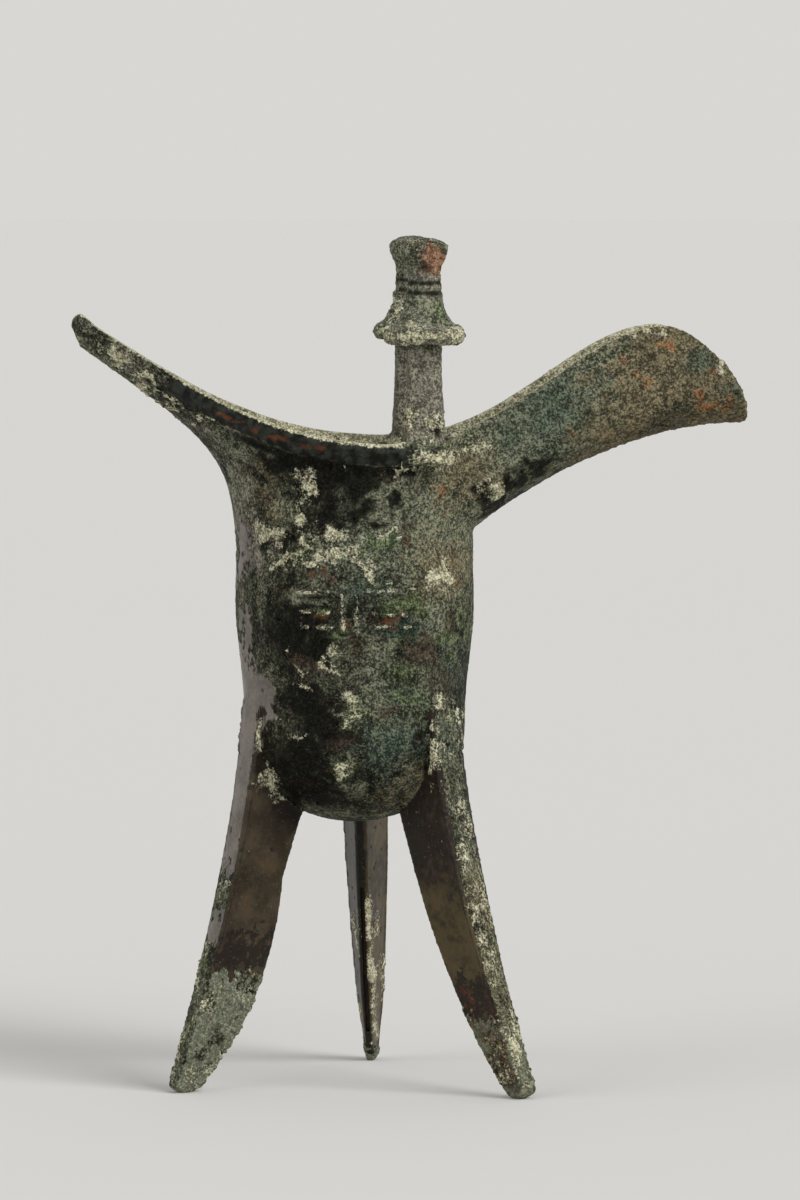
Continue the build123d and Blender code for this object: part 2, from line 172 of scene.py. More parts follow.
def to_frame(piece):
    """From drawing millimetres to the frame's metres."""
    piece.location = AXIS * MM
    piece.scale = (MM, MM, MM)
    pick(piece)
    bpy.ops.object.transform_apply()


def cut(piece, tool, operation):
    """A boolean with a cutting tool."""
    finish_with(piece, "BOOLEAN", object=tool, operation=operation, solver="MANIFOLD")


def without_crumbs(piece):
    """The largest of a piece's loose bodies, without the crumbs that a cut leaves beside it."""
    name = piece.name
    before = set(bpy.data.objects)
    pick(piece)
    bpy.ops.mesh.separate(type="LOOSE")
    bodies = [piece, *(set(bpy.data.objects) - before)]
    bodies.sort(key=lambda body: len(body.data.polygons))
    throw_away(*bodies[:-1])
    bodies[-1].name = name
    return bodies[-1]


# The whole casting as one skin, so that its joints run into each other as cast metal does

def slot_fill(side, shift):
    """The space of a leg's slot: its clay core, carried on towards the axis by a shift."""
    fill_up, carried = (copy_of(side + "_leg_core", side + "_slot") for _ in range(2))
    angle = math.radians(LEG_ANGLES[side])
    carried.location = Vector((math.cos(angle), math.sin(angle), 0)) * -shift * MM
    pick(carried)
    bpy.ops.object.transform_apply()
    cut(fill_up, carried, "UNION")
    throw_away(carried)
    return fill_up


def cast_skin():
    """All the cast pieces joined, remeshed finely and softened."""
    nodes = ["cup", "tail", "spout", "handle", "core_spacers", "near_post", "far_post"]
    nodes += [side + "_leg" for side in LEG_ANGLES]
    casts = [copy_of(node, "cast_" + node) for node in nodes]
    casts += [slot_fill(side, SLOT_FILL_SHIFT) for side in LEG_ANGLES]
    skin = joined(casts, "skin")
    finish_with(skin, "REMESH", mode="VOXEL", voxel_size=SKIN_VOXEL * MM)
    finish_with(skin, "SMOOTH", factor=0.5, iterations=SKIN_ROUNDS)
    return skin


def dome_tool():
    """The cup's round bottom as a solid a little larger than the cup, to part the legs from it."""
    rise, reach = DOME_DEPTH + SEAM_LIFT, DOME_R + SEAM_LIFT
    rings, spokes, weld = 18, 96, 1e-4
    profile = []
    for ring in range(rings + 1):
        turn = math.pi / 2 * ring / rings
        profile.append((reach * math.sin(turn), 0, DOME_Z - rise * math.cos(turn)))
    profile.append((WALL_TOP[0] + SEAM_LIFT, 0, WALL_TOP[1]))
    profile.append((0, 0, WALL_TOP[1]))
    mesh = bpy.data.meshes.new("dome_tool")
    mesh.from_pydata(profile, [(n, n + 1) for n in range(len(profile) - 1)], [])
    tool = bpy.data.objects.new("dome_tool", mesh)
    bpy.context.scene.collection.objects.link(tool)
    finish_with(
        tool, "SCREW", axis="Z", steps=spokes, render_steps=spokes, use_merge_vertices=True,
        merge_threshold=weld, use_normal_calculate=True,
    )
    bpy.ops.object.mode_set(mode="EDIT")
    bpy.ops.mesh.select_all(action="SELECT")
    bpy.ops.mesh.remove_doubles(threshold=weld)
    bpy.ops.mesh.normals_make_consistent(inside=False)
    bpy.ops.object.mode_set(mode="OBJECT")
    to_frame(tool)
    return tool


def spacer_blocks(name, size):
    """Square prisms through the cup wall between the legs, and one through its bottom."""
    half = size / 2
    under, over = SPACER_BOTTOM
    prisms = [block(name, (-half, -half, under), (half, half, over))]
    for angle in LEG_ANGLES.values():
        low = (DOME_R - SPACER_REACH, -half, SPACER_Z - half)
        high = (DOME_R + SPACER_REACH, half, SPACER_Z + half)
        prisms.append(block(name, low, high, turn=angle + SPACER_TURN))
    return joined(prisms, name)


def zones():
    """The space of each piece that is parted from the cup, as closed cutting tools."""
    tail_at = (TAIL_JOINT[0], 0, TAIL_JOINT[1])
    spout_at = (SPOUT_JOINT[0], 0, SPOUT_JOINT[1])
    tools = {
        "tail": block("tail_zone", *TAIL_BLOCK, lean=180 + JOINT_LEAN, at=tail_at),
        "spout": block("spout_zone", *SPOUT_BLOCK, lean=-JOINT_LEAN, at=spout_at),
        "handle": block("handle_zone", *HANDLE_BLOCK, turn=LEG_ANGLES["rear"]),
    }
    for name, side in (("near", -1), ("far", 1)):
        tools[name + "_post"] = block(name + "_post_zone", *POST_BLOCK, at=(POST_X, side * POST_Y, 0))
    dome = dome_tool()
    for name, angle in LEG_ANGLES.items():
        zone = block(name + "_leg_zone", *LEG_BLOCK, turn=angle)
        cut(zone, dome, "DIFFERENCE")
        tools[name + "_leg"] = zone
    throw_away(dome)
    return tools


def part_the_skin(skin):
    """One closed piece for each cast node, cut from the skin along the joints."""
    pieces = {}
    tools = zones()
    for node, tool in tools.items():
        pieces[node] = copy_of_piece(skin, node + "_cast")
        cut(pieces[node], tool, "INTERSECT")
    for side in LEG_ANGLES:
        slot = slot_fill(side, SLOT_CUT_SHIFT)
        cut(pieces[side + "_leg"], slot, "DIFFERENCE")
        throw_away(slot)
        pieces[side + "_leg"] = without_crumbs(pieces[side + "_leg"])
    plates = spacer_blocks("spacer_plates", SPACER_SIZE - 2 * SPACER_GAP)
    pieces["core_spacers"] = copy_of_piece(skin, "core_spacers_cast")
    cut(pieces["core_spacers"], plates, "INTERSECT")
    throw_away(plates)
    seats = spacer_blocks("spacer_seats", SPACER_SIZE)
    everything = joined(list(tools.values()) + [seats], "all_zones")
    pieces["cup"] = copy_of_piece(skin, "cup_cast")
    cut(pieces["cup"], everything, "DIFFERENCE")
    throw_away(everything)
    return pieces


# Where the corrosion lies, and where shade and highlights are painted

# The rim's curve from the tail tip to its lowest point, and the lip band under it
RIM_LOW = Vector((9.0, 157.8))
TAIL_TIP = Vector((-66.6, 187.6))
RIM_PULLS = (Vector((-41.6, 172.1)), Vector((-22.2, 157.8)))
LIP_BAND = 5.4

# Bounds that tell which piece a point belongs to
WINGS_Z = 125.0
SPOUT_HALF = 20.0
POST_HALF = 5.4
CAP_LOW_Z = 178.0
CAP_BRIM_Z = 180.0
CUP_FLOOR_Z = 66.0
LEG_HALF = 6.8
LEG_INNER_R = 10.0
LEG_TOP_Z = 93.0
LEG_OFF_DOME = 1.025
LEG_OFF_WALL_R = 27.6
RIM_ZONE_Z = 140.0
EDGE_ZONE_Z = 150.0

# Height of each leg's crust line
CRUST_LINES = {"left": 29.0, "right": 19.0, "rear": 4.0}

# Rise or depth of crust and relief
CREAM_RISE = 0.26
FOOT_CRUST_RISE = 0.32
DARK_DEPTH = 0.10
LIP_RISE = 1.2
LIP_HOLLOW = 0.35
THREAD_RISE = 0.7
BREAK_DEPTH = 1.1
TAIL_TIP_RISE = 0.9

# Share that the rear toe loses of its width at the table, and the height where that begins
TOE_PINCH = 0.35
TOE_PINCH_Z = 18.0

# How far the outlines of patches wander, and the wavelength of that; a step between unlike noises
PATCH_WANDER = 3.6
WANDER_SIZE = 5.0
SEED_STEP = 17.3

# Patches on the side towards the camera: across from the axis, height, half width, half height
# Of the cream patches, the one at (17.5, 184.0) is a painted highlight along the near cap's brim
CREAM_PATCHES = (
    (-14.6, 141.0, 2.4, 4.0), (-21.3, 135.8, 2.8, 2.4), (-13.4, 134.7, 1.5, 2.4), (-8.2, 136.2, 3.0, 2.7),
    (-18.2, 129.1, 4.0, 2.1), (-11.9, 129.4, 1.5, 1.8), (-3.9, 130.9, 6.7, 1.8), (1.0, 128.8, 2.5, 1.5),
    (5.2, 136.4, 3.7, 0.9), (-16.6, 107.8, 1.1, 1.2), (-7.5, 106.0, 2.8, 1.5), (-13.7, 100.1, 2.2, 1.2),
    (-3.6, 96.0, 3.2, 2.6), (0.0, 92.4, 2.4, 1.5), (-19.2, 91.3, 0.9, 1.1), (-14.2, 87.7, 1.5, 0.8),
    (-5.6, 77.7, 2.0, 1.7), (20.8, 90.9, 2.2, 3.7), (24.2, 82.8, 1.6, 4.5), (-13.6, 148.0, 2.0, 3.4),
    (-3.5, 152.6, 1.4, 0.7), (9.5, 152.3, 2.0, 0.9), (11.0, 150.6, 1.4, 0.8), (3.3, 155.7, 1.8, 1.0),
    (18.6, 162.0, 3.4, 2.2), (11.0, 165.0, 2.0, 5.0), (19.0, 154.6, 6.0, 1.8), (-22.5, 76.0, 2.2, 4.0),
    (24.0, 73.0, 2.4, 5.0), (20.0, 126.0, 3.0, 3.0), (28.5, 156.0, 4.0, 2.4), (33.0, 147.0, 3.0, 3.0),
    (87.8, 176.6, 2.0, 1.8), (-57.8, 178.8, 3.4, 2.4), (-50.2, 171.4, 3.6, 1.8), (-46.0, 166.4, 5.0, 1.0),
    (-38.0, 163.0, 5.0, 0.9), (72.0, 184.4, 6.0, 1.0), (17.5, 184.0, 9.0, 1.3),
)
HAZE_PATCHES = (
    (20.5, 128.5, 8.0, 8.0), (16.0, 140.0, 9.0, 7.0), (24.0, 148.0, 9.0, 8.0), (-1.0, 73.5, 5.0, 2.6),
    (8.0, 71.5, 6.0, 3.2), (15.0, 75.5, 4.0, 4.0), (18.5, 82.0, 3.0, 5.0), (-28.5, 146.0, 3.0, 9.0),
    (-19.0, 143.0, 3.0, 5.0), (1.0, 123.5, 6.0, 4.0), (-3.0, 131.0, 9.0, 3.4), (3.7, 106.0, 4.0, 4.0),
    (17.6, 101.0, 5.5, 4.5), (-3.0, 146.0, 2.6, 2.0), (4.5, 144.5, 3.4, 2.0), (7.0, 147.5, 3.0, 2.0),
    (17.0, 113.0, 5.0, 6.0), (22.0, 96.0, 4.0, 8.0), (-12.0, 122.0, 3.0, 4.0), (10.0, 126.0, 4.0, 4.0),
    (5.0, 99.0, 3.0, 4.0),
)
GREEN_PATCHES = (
    (9.2, 108.7, 2.9, 2.0), (-6.3, 111.5, 3.7, 1.9), (-8.6, 117.6, 2.0, 1.7), (12.2, 96.2, 3.2, 2.9),
    (21.4, 110.3, 1.6, 3.9), (25.6, 114.0, 1.6, 5.5), (7.3, 118.5, 4.2, 2.2), (9.8, 103.0, 4.4, 2.6),
    (-5.6, 77.7, 3.0, 2.6), (14.0, 121.0, 4.0, 3.0), (3.0, 156.0, 3.0, 1.6), (4.8, 134.0, 4.0, 2.6),
    (0.0, 93.0, 3.0, 2.4), (-18.0, 129.6, 4.6, 2.6), (16.0, 184.5, 7.0, 1.6), (19.0, 191.0, 3.0, 3.0),
)
RED_PATCHES = (
    (-9.3, 125.7, 3.4, 1.4), (-15.0, 122.8, 2.0, 1.3), (7.3, 115.1, 4.0, 1.2), (-3.0, 115.0, 1.0, 2.4),
    (-9.3, 115.7, 2.4, 1.5), (86.0, 175.6, 1.8, 2.0), (15.4, 199.4, 1.5, 1.6),
)
STAIN_PATCHES = (
    (21.4, 114.0, 1.8, 2.4), (10.8, 137.1, 1.8, 3.4), (-4.6, 87.7, 4.0, 3.4), (6.0, 93.8, 2.6, 2.6),
    (15.2, 108.4, 5.6, 4.2), (12.5, 138.0, 1.6, 2.4), (-1.0, 111.0, 3.0, 3.0), (-12.0, 104.0, 5.0, 3.0),
    (20.0, 100.0, 4.0, 5.0), (15.0, 203.5, 5.0, 2.4), (13.0, 199.0, 3.0, 2.0),
)
RUST_PATCHES = (
    (69.5, 173.0, 2.0, 1.4), (83.8, 167.0, 3.0, 1.3), (91.0, 165.6, 1.6, 2.6), (75.4, 180.7, 1.8, 1.0),
    (64.8, 175.0, 0.9, 1.6), (52.0, 159.0, 1.3, 1.1), (67.0, 168.5, 0.9, 1.6), (19.4, 146.0, 1.4, 2.6),
    (11.3, 135.2, 1.0, 1.2), (8.0, 160.8, 1.0, 2.6), (23.5, 124.0, 2.0, 1.2),
)
# Some dark patches are painted shadow: the band under the lip at (-18.0, 152.5), and the hollow between the
# dome and the right leg at (18.7, 76.7)
DARK_PATCHES = (
    (-8.0, 141.0, 3.4, 4.0), (-3.5, 148.0, 9.0, 4.0), (-18.0, 152.5, 9.0, 2.6), (-18.2, 134.7, 2.2, 2.2),
    (-15.5, 112.0, 5.5, 7.5), (-10.0, 108.4, 4.0, 3.0), (-13.0, 96.2, 5.5, 4.4), (-8.6, 90.0, 6.0, 5.0),
    (-14.2, 81.6, 6.6, 6.4), (-12.0, 73.5, 8.0, 4.0), (18.7, 76.7, 2.0, 3.8), (15.2, 86.0, 2.0, 2.0),
    (32.5, 143.0, 3.6, 3.6), (43.0, 152.4, 4.6, 2.2), (38.0, 147.5, 2.4, 3.0), (29.0, 147.0, 2.0, 1.6),
    (10.3, 155.0, 1.9, 1.9), (20.8, 161.0, 1.6, 2.2), (-60.6, 179.6, 2.4, 1.4), (-46.0, 171.0, 4.0, 1.6),
    (-40.0, 167.4, 4.0, 1.8), (-15.0, 146.0, 1.2, 1.0), (2.5, 148.5, 3.6, 3.2), (8.0, 150.0, 3.0, 2.6),
    (1.0, 142.0, 3.2, 2.4), (8.0, 143.0, 2.6, 2.2),
)
TEAL_PATCHES = (
    (6.5, 84.8, 9.0, 6.0), (48.0, 164.5, 11.0, 9.0), (37.0, 158.0, 3.6, 3.0), (1.0, 123.0, 6.0, 4.0),
    (10.0, 112.0, 6.0, 5.0), (84.0, 178.0, 5.0, 3.0), (92.0, 170.0, 2.6, 3.6), (4.8, 134.0, 5.0, 3.6),
    (22.0, 102.0, 4.0, 7.0), (12.0, 97.0, 4.0, 4.0),
)
TAN_PATCHES = (
    (20.5, 127.0, 9.0, 7.0), (24.0, 148.0, 10.0, 9.0), (33.0, 147.0, 6.0, 5.0), (7.0, 72.0, 9.0, 3.4),
    (16.0, 77.0, 5.0, 5.0), (-22.0, 147.0, 5.0, 8.0),
)
ROSE_PATCHES = ((-29.0, 139.0, 3.6, 9.0), (-24.0, 131.0, 3.0, 6.0))
RUST_BY_POST = ((9.0, 160.0, 1.6, 4.0),)
BROKEN_CAP = ((POST_X + 3.0, 201.6, 3.6, 3.3),)

# Heights of the cap's two dark grooves
CAP_GROOVES = (193.9, 196.3)

# Lumps of crust: across, height, reach, rise
LUMPS = ((10.3, 155.0, 1.9, 0.9), (46.5, 168.4, 1.2, 0.6), (50.0, 168.8, 1.0, 0.5), (87.8, 176.6, 1.6, 0.4))

# Share of other tints that the smooth lilac-grey film hides, and its edge: height, and how far out it
# starts; the film's light tone is partly a painted reflection
LILAC_COVER = 0.95
LILAC_EDGE = (
    (64, 26.0), (75, 25.6), (84, 23.6), (92, 20.8), (98, 19.8),
    (102, 22.5), (106, 25.2), (135, 25.6), (141, 28.0),
)

# Worn threads on the belly: the two ends of each, across and height
THREADS = (
    ((-4.2, 113.0), (-4.6, 121.5)), ((-1.0, 112.0), (-1.2, 121.5)), ((1.5, 122.3), (13.0, 122.6)),
    ((2.5, 124.2), (13.5, 124.0)), ((-6.5, 122.4), (-15.0, 122.0)), ((3.5, 117.0), (11.5, 116.4)),
    ((4.0, 113.9), (12.0, 113.6)), ((-7.5, 117.2), (-14.5, 117.4)), ((-7.0, 113.6), (-14.0, 113.8)),
)


def soft(value, low, high):
    """A smooth step from 0 at low to 1 at high."""
    share = np.clip((value - low) / (high - low), 0, 1)
    return share * share * (3 - 2 * share)


def mottle(points, wavelength, octaves, seed, smoothness=1.0):
    """Cloudy noise about 0 over the points, of a wavelength in millimetres."""
    places = (points / wavelength + SEED_STEP * seed).tolist()
    return np.array([noise.fractal(place, smoothness, 2.0, octaves) for place in places])


def patches(surface, spots):
    """How strongly the listed patches cover each point."""
    cover = np.zeros(len(surface.across))
    for x, z, half_width, half_height in spots:
        away = ((surface.across - x) / half_width) ** 2 + ((surface.up - z) / half_height) ** 2
        cover = np.maximum(cover, np.exp(-away))
    return cover


def rim_height(across):
    """Height of the rim's edge above each place between the tail tip and its lowest point."""
    steps = np.linspace(0, 1, 40)
    ends = (TAIL_TIP, RIM_PULLS[0], RIM_PULLS[1], RIM_LOW)
    weights = ((1 - steps) ** 3, 3 * (1 - steps) ** 2 * steps, 3 * (1 - steps) * steps**2, steps**3)
    xs = sum(weight * end.x for weight, end in zip(weights, ends))
    zs = sum(weight * end.y for weight, end in zip(weights, ends))
    return np.interp(across, xs, zs)


class Surface:
    """Where each point of a mesh lies on the vessel, with shares from 0 to 1 for what it belongs to."""

    def __init__(self, mesh):
        self.count = len(mesh.vertices)
        flat = np.empty(self.count * 3, np.float32)
        mesh.vertices.foreach_get("co", flat)
        self.points = flat.reshape(self.count, 3).astype(float) / MM - np.array(AXIS)
        mesh.vertices.foreach_get("normal", flat)
        self.normals = flat.reshape(self.count, 3).astype(float)
        self.x, self.y, self.z = self.points.T
        self.radius = np.hypot(self.x, self.y)
        self.add_noise()
        self.find_wings_and_posts()
        self.find_legs()
        self.find_rim()
        self.wall = (1 - self.leg) * (1 - self.post) * (1 - self.lip)
        self.seen = self.near * (1 - self.leg) * (1 - self.lip)
        self.far_side = (1 - self.near) * self.wall

    def add_noise(self):
        """Cloudy noise about 0, from fine to broad, and places that wander, for the outlines of patches."""
        self.grit = mottle(self.points, 2.4, 4, 1, 0.6)
        self.fine = mottle(self.points, 1.1, 2, 2, 0.6)
        self.broad = mottle(self.points, 14.0, 3, 3)
        self.cloud, self.drift, self.bloom = (mottle(self.points, 7.0, 3, seed) for seed in (4, 5, 6))
        self.across = self.x + PATCH_WANDER * mottle(self.points, WANDER_SIZE, 4, 11, 0.8)
        self.up = self.z + PATCH_WANDER * mottle(self.points, WANDER_SIZE, 4, 12, 0.8)

    def find_wings_and_posts(self):
        """Spout, its sandy end, tail, posts and caps; the inner side, and the side towards the camera."""
        x, y, z = self.points.T
        facing_x, facing_y, facing_z = self.normals.T
        lean = math.tan(math.radians(JOINT_LEAN))
        past_spout = x - SPOUT_JOINT[0] + (z - SPOUT_JOINT[1]) * lean
        past_tail = TAIL_JOINT[0] + (z - TAIL_JOINT[1]) * lean - x
        high = z > WINGS_Z
        self.spout = soft(past_spout, -5, 6) * (np.abs(y) < SPOUT_HALF) * high
        self.spout_end = self.spout * soft(x + 7 * self.drift + 5 * self.grit - 0.35 * (z - 165), 50, 62)
        self.tail = soft(past_tail, -6, 8) * high
        from_post = np.maximum(np.abs(x - POST_X), np.abs(np.abs(y) - POST_Y)) - POST_HALF
        shaft = soft(-from_post, -2.5, 0.3) * soft(z, 155.5, 160)
        self.post = np.maximum(shaft, (z > CAP_LOW_Z) & (from_post < 6))
        self.cap = self.post * (z > CAP_BRIM_Z)
        facing_out = (facing_x * x + facing_y * y) / np.maximum(self.radius, 1)
        facing_aside = facing_y * np.sign(y) - 0.6 * facing_z
        self.outward = np.where((past_spout > 0) | (past_tail > 0), facing_aside, facing_out)
        self.inside = soft(-self.outward, 0.05, 0.35) * (z > CUP_FLOOR_Z) * (1 - self.post)
        self.near = soft(-y, -6, 2) * (1 - self.inside)

    def find_legs(self):
        """Which leg a point belongs to, if any, and where on that leg it lies."""
        x, y, z = self.points.T
        facing_x, facing_y, _ = self.normals.T
        dome = np.hypot(self.radius / DOME_R, (z - DOME_Z) / DOME_DEPTH)
        self.near_dome = soft(9 - np.maximum(dome - 1, 0) * DOME_R, 0, 9)
        self.under_crust_line = np.full(self.count, -50.0)
        self.leg, self.aside, self.inner_edge = (np.zeros(self.count) for _ in range(3))
        self.strip, self.shade_at_strip_step = (np.zeros(self.count) for _ in range(2))
        self.legs = {}
        for name, angle in LEG_ANGLES.items():
            cosine, sine = math.cos(math.radians(angle)), math.sin(math.radians(angle))
            out, aside = x * cosine + y * sine, y * cosine - x * sine
            here = (np.abs(aside) < LEG_HALF) & (out > LEG_INNER_R) & (z < LEG_TOP_Z)
            here &= (dome > LEG_OFF_DOME) | (self.radius > LEG_OFF_WALL_R)
            share = np.clip((LEG_ROOT[1] - z) / LEG_ROOT[1], 0, 1)
            outer = LEG_ROOT[0] + (LEG_FOOT_R[name] - LEG_ROOT[0]) * share**LEG_CURVE
            inward = -facing_x * cosine - facing_y * sine
            self.legs[name] = here.astype(float)
            self.leg = np.where(here, 1.0, self.leg)
            self.aside = np.where(here, aside, self.aside)
            self.inner_edge = np.where(here, soft(inward, 0.3, 0.7), self.inner_edge)
            self.strip = np.where(here, soft(out - outer, -0.5, -0.15), self.strip)
            # A thin line on the leg faces next to the outer strip, where painted shadow marks the step
            self.shade_at_strip_step = np.where(here, np.exp(-(((out - outer + 1.2) / 0.4) ** 2)), self.shade_at_strip_step)
            self.under_crust_line = np.where(here, CRUST_LINES[name] - z, self.under_crust_line)
        self.faces = self.leg * (1 - self.strip)
        self.crusted = self.leg * soft(self.under_crust_line + 3.5 * self.grit + 2.5 * self.broad, -0.5, 0.7)

    def find_rim(self):
        """The lip band under the rim, the hollow below it, darkened as a painted shadow, and the rim's edge,
        whose upward-facing top carries a painted highlight.
        """
        x, _, z = self.points.T
        self.below_edge = rim_height(x) - z
        on_rim = (self.below_edge > -3) * (z > RIM_ZONE_Z) * (1 - self.inside) * (1 - self.post)
        self.lip = soft(LIP_BAND - self.below_edge, -0.1, 0.5) * on_rim
        self.lip *= soft(x, -50, -40)
        self.lip *= soft(-x, -13, -9)
        # The band below the lip band: dug in as a hollow, and darkened as a painted shadow
        self.hollow_and_shade_under_lip = np.exp(-(((self.below_edge - LIP_BAND - 1.3) / 1.2) ** 2)) * on_rim
        self.hollow_and_shade_under_lip *= soft(x, -36, -26) * soft(-x, -14, -8) * (1 - self.lip)
        self.edge = soft(self.normals[:, 2], 0.5, 0.8) * (z > EDGE_ZONE_Z)
        along_edge = soft(2.2 - np.abs(self.below_edge), 0, 1) * (x < 12) * (z > EDGE_ZONE_Z)
        self.rim = np.maximum(along_edge, self.edge) * (1 - self.post)


def lilac_film_and_reflection(surface):
    """The smooth lilac-grey film on the cup's left and along the left leg's strip, its light tone partly a
    painted reflection of a side light.
    """
    x, z, grit = surface.x, surface.z, surface.grit
    edge = np.interp(z, *zip(*LILAC_EDGE))
    wall = soft(-x - edge + 2.0 * grit, -1.5, 1.5) * (z > 62) * surface.wall * (1 - surface.inside)
    wall *= 1 - soft(z, 99, 104) * soft(0.25 + surface.broad + 0.7 * grit, 0.1, 0.6)
    strip = surface.legs["left"] * surface.strip
    strip *= np.maximum(soft(z + 6 * grit, 50, 56), 0.9 * soft(3.5 - np.abs(z - 40 + 4 * grit), -1, 1))
    return np.clip(wall * (1 - surface.tail) + strip, 0, 1)


def films_and_spout_highlight(surface, dark_and_shadow_patches):
    """Thin films of one tint each: grey-green haze, tan, teal, green, rose and brown stain; the haze also
    lays a painted highlight on the spout's upward-facing top.
    """
    x, z, broad = surface.x, surface.z, surface.broad
    cloud, drift, bloom = surface.cloud, surface.drift, surface.bloom
    wall, seen, far_side = surface.wall, surface.seen, surface.far_side
    spout, tail, post, strip = surface.spout, surface.tail, surface.post, surface.strip
    right = surface.legs["right"]
    right_belly = seen * soft(x, -10, 8) * 0.34 * soft(z, 108, 132)
    haze = (wall * (0.3 + 0.5 * broad) + right_belly) * (1 - 0.6 * dark_and_shadow_patches)
    haze += 0.55 * seen * patches(surface, HAZE_PATCHES)
    haze += far_side * (0.45 + 0.4 * drift) + 0.28 * spout * wall + 0.25 * tail * wall
    # The haze on the spout's upward-facing top is a painted highlight
    haze += post * (0.9 + 0.3 * drift) + 0.5 * spout * surface.edge
    haze += strip * (0.6 + 0.2 * right + 0.5 * drift)
    tan = patches(surface, TAN_PATCHES) * seen + surface.spout_end + 0.3 * far_side + 0.3 * broad
    tan += 0.7 * strip * right
    teal = patches(surface, TEAL_PATCHES) * seen + far_side * (0.2 + 0.7 * bloom)
    teal += strip * right * (0.55 * soft(z, 48, 58) + 0.25 * bloom) + surface.cap * (0.15 + 0.9 * cloud)
    green = patches(surface, GREEN_PATCHES) * seen + far_side * (0.15 + 0.7 * cloud)
    green += strip * (1 - 0.8 * right) * (0.2 + 0.6 * bloom)
    rose = patches(surface, ROSE_PATCHES) * seen + post * (0.45 + 0.4 * (z < CAP_BRIM_Z) + 0.6 * drift)
    rose += tail * wall * (0.25 + 0.6 * drift)
    stain = patches(surface, STAIN_PATCHES) * seen + far_side * (0.5 * drift - 0.4 * bloom)
    return {"haze": haze, "tan": tan, "teal": teal, "green": green, "rose": rose, "stain": stain}


def dark_metal_and_shade(surface, dark_and_shadow_patches, beside):
    """Dark metal in patches and in the cap's grooves, and painted shade: in some of the patches, in the
    hollow under the lip, on the spout's underside, on the posts' left faces, at the legs' strip steps, along
    the rear leg's inner edge, and on the low ground beside threads.
    """
    z, post, faces = surface.z, surface.post, surface.faces
    facing_x, _, facing_z = surface.normals.T
    # Dark patches, some of them painted shadow, and the painted shadow under the lip
    dark = 1.2 * dark_and_shadow_patches + surface.far_side * (0.1 + 0.7 * surface.broad) + surface.hollow_and_shade_under_lip
    # Painted shade on the spout's underside and on the low ground beside the threads
    dark += 0.4 * surface.spout * soft(-facing_z, 0.25, 0.8) * (1 - surface.inside) + 0.6 * beside
    # Painted shade on the posts' faces that turn to the left, below the caps
    dark += 0.4 * post * soft(-facing_x, 0.3, 0.7) * (z < CAP_BRIM_Z)
    # Dark flecks in the lip band, and painted shadow along the step between the legs' faces and strips below
    # 75 mm
    dark += 0.5 * surface.lip * soft(surface.grit, -0.1, 0.3) + 0.7 * faces * surface.shade_at_strip_step * (z < 75)
    # Painted shade: a dark line along the rear leg's inner edge, for the shadow in its slot, over its whole
    # length
    dark += 1.5 * surface.legs["rear"] * surface.inner_edge * np.exp(-((surface.aside / 0.8) ** 2))
    for height in CAP_GROOVES:
        dark += 0.9 * post * np.exp(-(((z - height) / 0.8) ** 2))
    return dark


def leg_tints_and_shade(surface):
    """The legs' tints: soil and stony crust at the feet, and above them brown with umber and olive; the
    umber is partly painted shade, under the cup's bottom and on the rear leg's left face.
    """
    z, grit, drift = surface.z, surface.grit, surface.drift
    faces, crusted, strip = surface.faces, surface.crusted, surface.strip
    left, right, rear = (surface.legs[name] for name in ("left", "right", "rear"))
    soil = right * crusted * (0.75 + 0.8 * drift) * np.maximum(1 - strip, 0.3)
    plates = 1 - 0.6 * soft(surface.cloud + 0.6 * grit, 0.12, 0.4)
    stone = crusted * np.maximum((1 - strip) * plates, 0.5 - 0.12 * left)
    brown = faces * (1 - crusted)
    # Painted shade: the umber darkens the leg tops under the cup's bottom
    umber = 0.9 * surface.near_dome * soft(z, 52, 70) + left * soft(4.5 - np.abs(z - 34) + 6 * grit, -2, 3)
    umber += right * (soft(5 - np.abs(z - 22.5) + 6 * grit, -2, 3) + 0.6 * soft(z, 44, 58))
    # Painted shade: the rear leg's left face is darker than its right
    umber += rear * (0.3 + 0.55 * soft(surface.aside, 0.0, 0.8)) + 0.4 + 0.5 * surface.broad
    olive = right * soft(13 - np.abs(z - 39), -4, 6) + 0.8 * rear
    olive += 0.3 * left * soft(10 - np.abs(z - 52), -4, 6)
    olive += 0.3 * drift
    return {"soil": soil, "stone": stone, "brown": brown, "umber": faces * umber, "olive": faces * olive}


def red_and_rust(surface):
    """Red on the belly and in streaks along the lip; rust orange on spout, post and feet."""
    x, z, cloud, bloom = surface.x, surface.z, surface.cloud, surface.bloom
    left, right = surface.legs["left"], surface.legs["right"]
    red = patches(surface, RED_PATCHES) * surface.near * (1 - surface.leg)
    red += surface.far_side * (0.5 * cloud - 0.5 * bloom)
    streaks = mottle(surface.points * np.array((0.3, 0.3, 1.0)), 1.6, 2, 7)
    middle_of_lip = np.exp(-(((surface.below_edge - 3.2) / 1.2) ** 2)) * soft(x, -41, -35) * soft(-x, 5, 10)
    red += surface.lip * middle_of_lip * (0.5 + streaks)
    red += 0.5 * surface.faces * right * soft(4 - np.abs(z - 21) + 4 * surface.grit, -2, 2)
    rust = patches(surface, RUST_PATCHES) * surface.seen
    rust += surface.spout_end * (0.2 + 0.35 * bloom) * surface.wall
    by_post = surface.post * patches(surface, RUST_BY_POST)
    rust += 0.3 * surface.spout * surface.edge * soft(x, 56, 66) + 0.5 * by_post
    rust += 0.45 * left * surface.crusted * soft(surface.under_crust_line, 5, 1) * soft(bloom, -0.2, 0.2)
    rust += surface.crusted * (0.25 * right + 0.5 * cloud)
    return {"red": red, "rust": rust}


